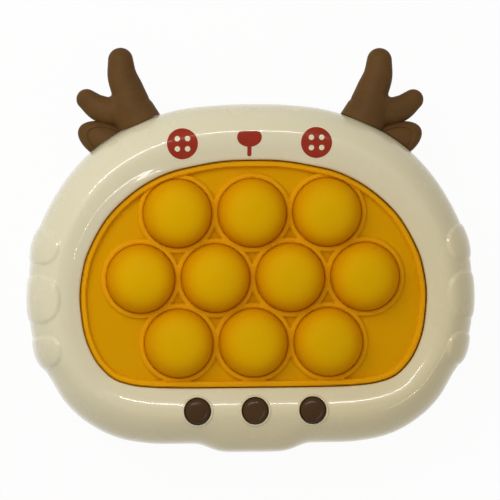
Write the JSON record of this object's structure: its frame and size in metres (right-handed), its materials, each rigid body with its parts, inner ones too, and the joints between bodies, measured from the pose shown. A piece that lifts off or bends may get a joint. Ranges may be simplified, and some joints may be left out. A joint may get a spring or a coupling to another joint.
{
  "type": "electronic quick push game",
  "caption": "Handheld light-and-sound push game: rounded antlered-animal case round a silicone pad of press-in bubbles, with control buttons and a battery door at the back.",
  "frame": {"origin": "middle of the flat back that the game lies on, under the middle of its outline", "axes": "+X to the right across the face, +Y up the face towards the antlers, +Z out of the face"},
  "size_m": [0.149, 0.134, 0.0405],
  "materials": {
    "case_cream": "glossy moulded cream plastic",
    "antler_brown": "matte moulded dark brown plastic",
    "silicone_yellow": "satin yellow silicone",
    "frame_white": "matte white moulded plastic",
    "board_green": "green solder resist",
    "carbon_rubber": "matte carbon-filled rubber",
    "led_clear": "clear moulded lamp",
    "button_brown": "semi-gloss brown plastic",
    "switch_black": "matte black plastic",
    "steel": "zinc-plated steel",
    "battery_jacket": "plain printed battery jacket",
    "speaker_black": "black paper cone and frame",
    "wire_black": "black wire jacket",
    "wire_red": "red wire jacket",
    "wire_yellow": "yellow wire jacket"
  },
  "bodies": {
    "case": {"front_shell": "case_cream", "rear_shell": "case_cream", "antler_left": "antler_brown", "antler_right": "antler_brown", "bubble_sheet": "silicone_yellow", "light_frame": "frame_white", "game_board": "board_green", "led_1": "led_clear", "led_2": "led_clear", "led_3": "led_clear", "led_4": "led_clear", "led_5": "led_clear", "led_6": "led_clear", "led_7": "led_clear", "led_8": "led_clear", "led_9": "led_clear", "led_10": "led_clear", "button_switch_left": "switch_black", "button_switch_middle": "switch_black", "button_switch_right": "switch_black", "housing_screw_1": "steel", "housing_screw_2": "steel", "housing_screw_3": "steel", "housing_screw_4": "steel", "battery_1": "battery_jacket", "battery_2": "battery_jacket", "battery_3": "battery_jacket", "contact_negative": "steel", "contact_bridge_right": "steel", "contact_bridge_left": "steel", "contact_positive": "steel", "speaker": "speaker_black", "battery_wire_black": "wire_black", "battery_wire_red": "wire_red", "speaker_wire": "wire_yellow"},
    "push_1": {"bubble_1": "silicone_yellow", "carbon_pill_1": "carbon_rubber"},
    "push_2": {"bubble_2": "silicone_yellow", "carbon_pill_2": "carbon_rubber"},
    "push_3": {"bubble_3": "silicone_yellow", "carbon_pill_3": "carbon_rubber"},
    "push_4": {"bubble_4": "silicone_yellow", "carbon_pill_4": "carbon_rubber"},
    "push_5": {"bubble_5": "silicone_yellow", "carbon_pill_5": "carbon_rubber"},
    "push_6": {"bubble_6": "silicone_yellow", "carbon_pill_6": "carbon_rubber"},
    "push_7": {"bubble_7": "silicone_yellow", "carbon_pill_7": "carbon_rubber"},
    "push_8": {"bubble_8": "silicone_yellow", "carbon_pill_8": "carbon_rubber"},
    "push_9": {"bubble_9": "silicone_yellow", "carbon_pill_9": "carbon_rubber"},
    "push_10": {"bubble_10": "silicone_yellow", "carbon_pill_10": "carbon_rubber"},
    "left_button": {"button_left": "button_brown"},
    "middle_button": {"button_middle": "button_brown"},
    "right_button": {"button_right": "button_brown"},
    "door": {"battery_door": "case_cream", "battery_door_screw": "steel"}
  },
  "joints": [
    {"name": "bubble_1_push", "type": "slide", "parent": "case", "child": "push_1", "axis": [0, 0, -1], "range_m": [0, 0.0045], "stiffness_N_per_m": 650, "springref_m": -0.0005},
    {"name": "bubble_2_push", "type": "slide", "parent": "case", "child": "push_2", "axis": [0, 0, -1], "range_m": [0, 0.0045], "stiffness_N_per_m": 650, "springref_m": -0.0005},
    {"name": "bubble_3_push", "type": "slide", "parent": "case", "child": "push_3", "axis": [0, 0, -1], "range_m": [0, 0.0045], "stiffness_N_per_m": 650, "springref_m": -0.0005},
    {"name": "bubble_4_push", "type": "slide", "parent": "case", "child": "push_4", "axis": [0, 0, -1], "range_m": [0, 0.0045], "stiffness_N_per_m": 650, "springref_m": -0.0005},
    {"name": "bubble_5_push", "type": "slide", "parent": "case", "child": "push_5", "axis": [0, 0, -1], "range_m": [0, 0.0045], "stiffness_N_per_m": 650, "springref_m": -0.0005},
    {"name": "bubble_6_push", "type": "slide", "parent": "case", "child": "push_6", "axis": [0, 0, -1], "range_m": [0, 0.0045], "stiffness_N_per_m": 650, "springref_m": -0.0005},
    {"name": "bubble_7_push", "type": "slide", "parent": "case", "child": "push_7", "axis": [0, 0, -1], "range_m": [0, 0.0045], "stiffness_N_per_m": 650, "springref_m": -0.0005},
    {"name": "bubble_8_push", "type": "slide", "parent": "case", "child": "push_8", "axis": [0, 0, -1], "range_m": [0, 0.0045], "stiffness_N_per_m": 650, "springref_m": -0.0005},
    {"name": "bubble_9_push", "type": "slide", "parent": "case", "child": "push_9", "axis": [0, 0, -1], "range_m": [0, 0.0045], "stiffness_N_per_m": 650, "springref_m": -0.0005},
    {"name": "bubble_10_push", "type": "slide", "parent": "case", "child": "push_10", "axis": [0, 0, -1], "range_m": [0, 0.0045], "stiffness_N_per_m": 650, "springref_m": -0.0005},
    {"name": "left_button_press", "type": "slide", "parent": "case", "child": "left_button", "axis": [0, 0, -1], "range_m": [0, 0.0008], "stiffness_N_per_m": 1500, "springref_m": -0.0002},
    {"name": "middle_button_press", "type": "slide", "parent": "case", "child": "middle_button", "axis": [0, 0, -1], "range_m": [0, 0.0008], "stiffness_N_per_m": 1500, "springref_m": -0.0002},
    {"name": "right_button_press", "type": "slide", "parent": "case", "child": "right_button", "axis": [0, 0, -1], "range_m": [0, 0.0008], "stiffness_N_per_m": 1500, "springref_m": -0.0002},
    {"name": "battery_door_hinge", "type": "hinge", "parent": "case", "child": "door", "pos_m": [0, 0.00014, 0.0004], "axis": [1, 0, 0], "range_deg": [0, 75]}
  ]
}
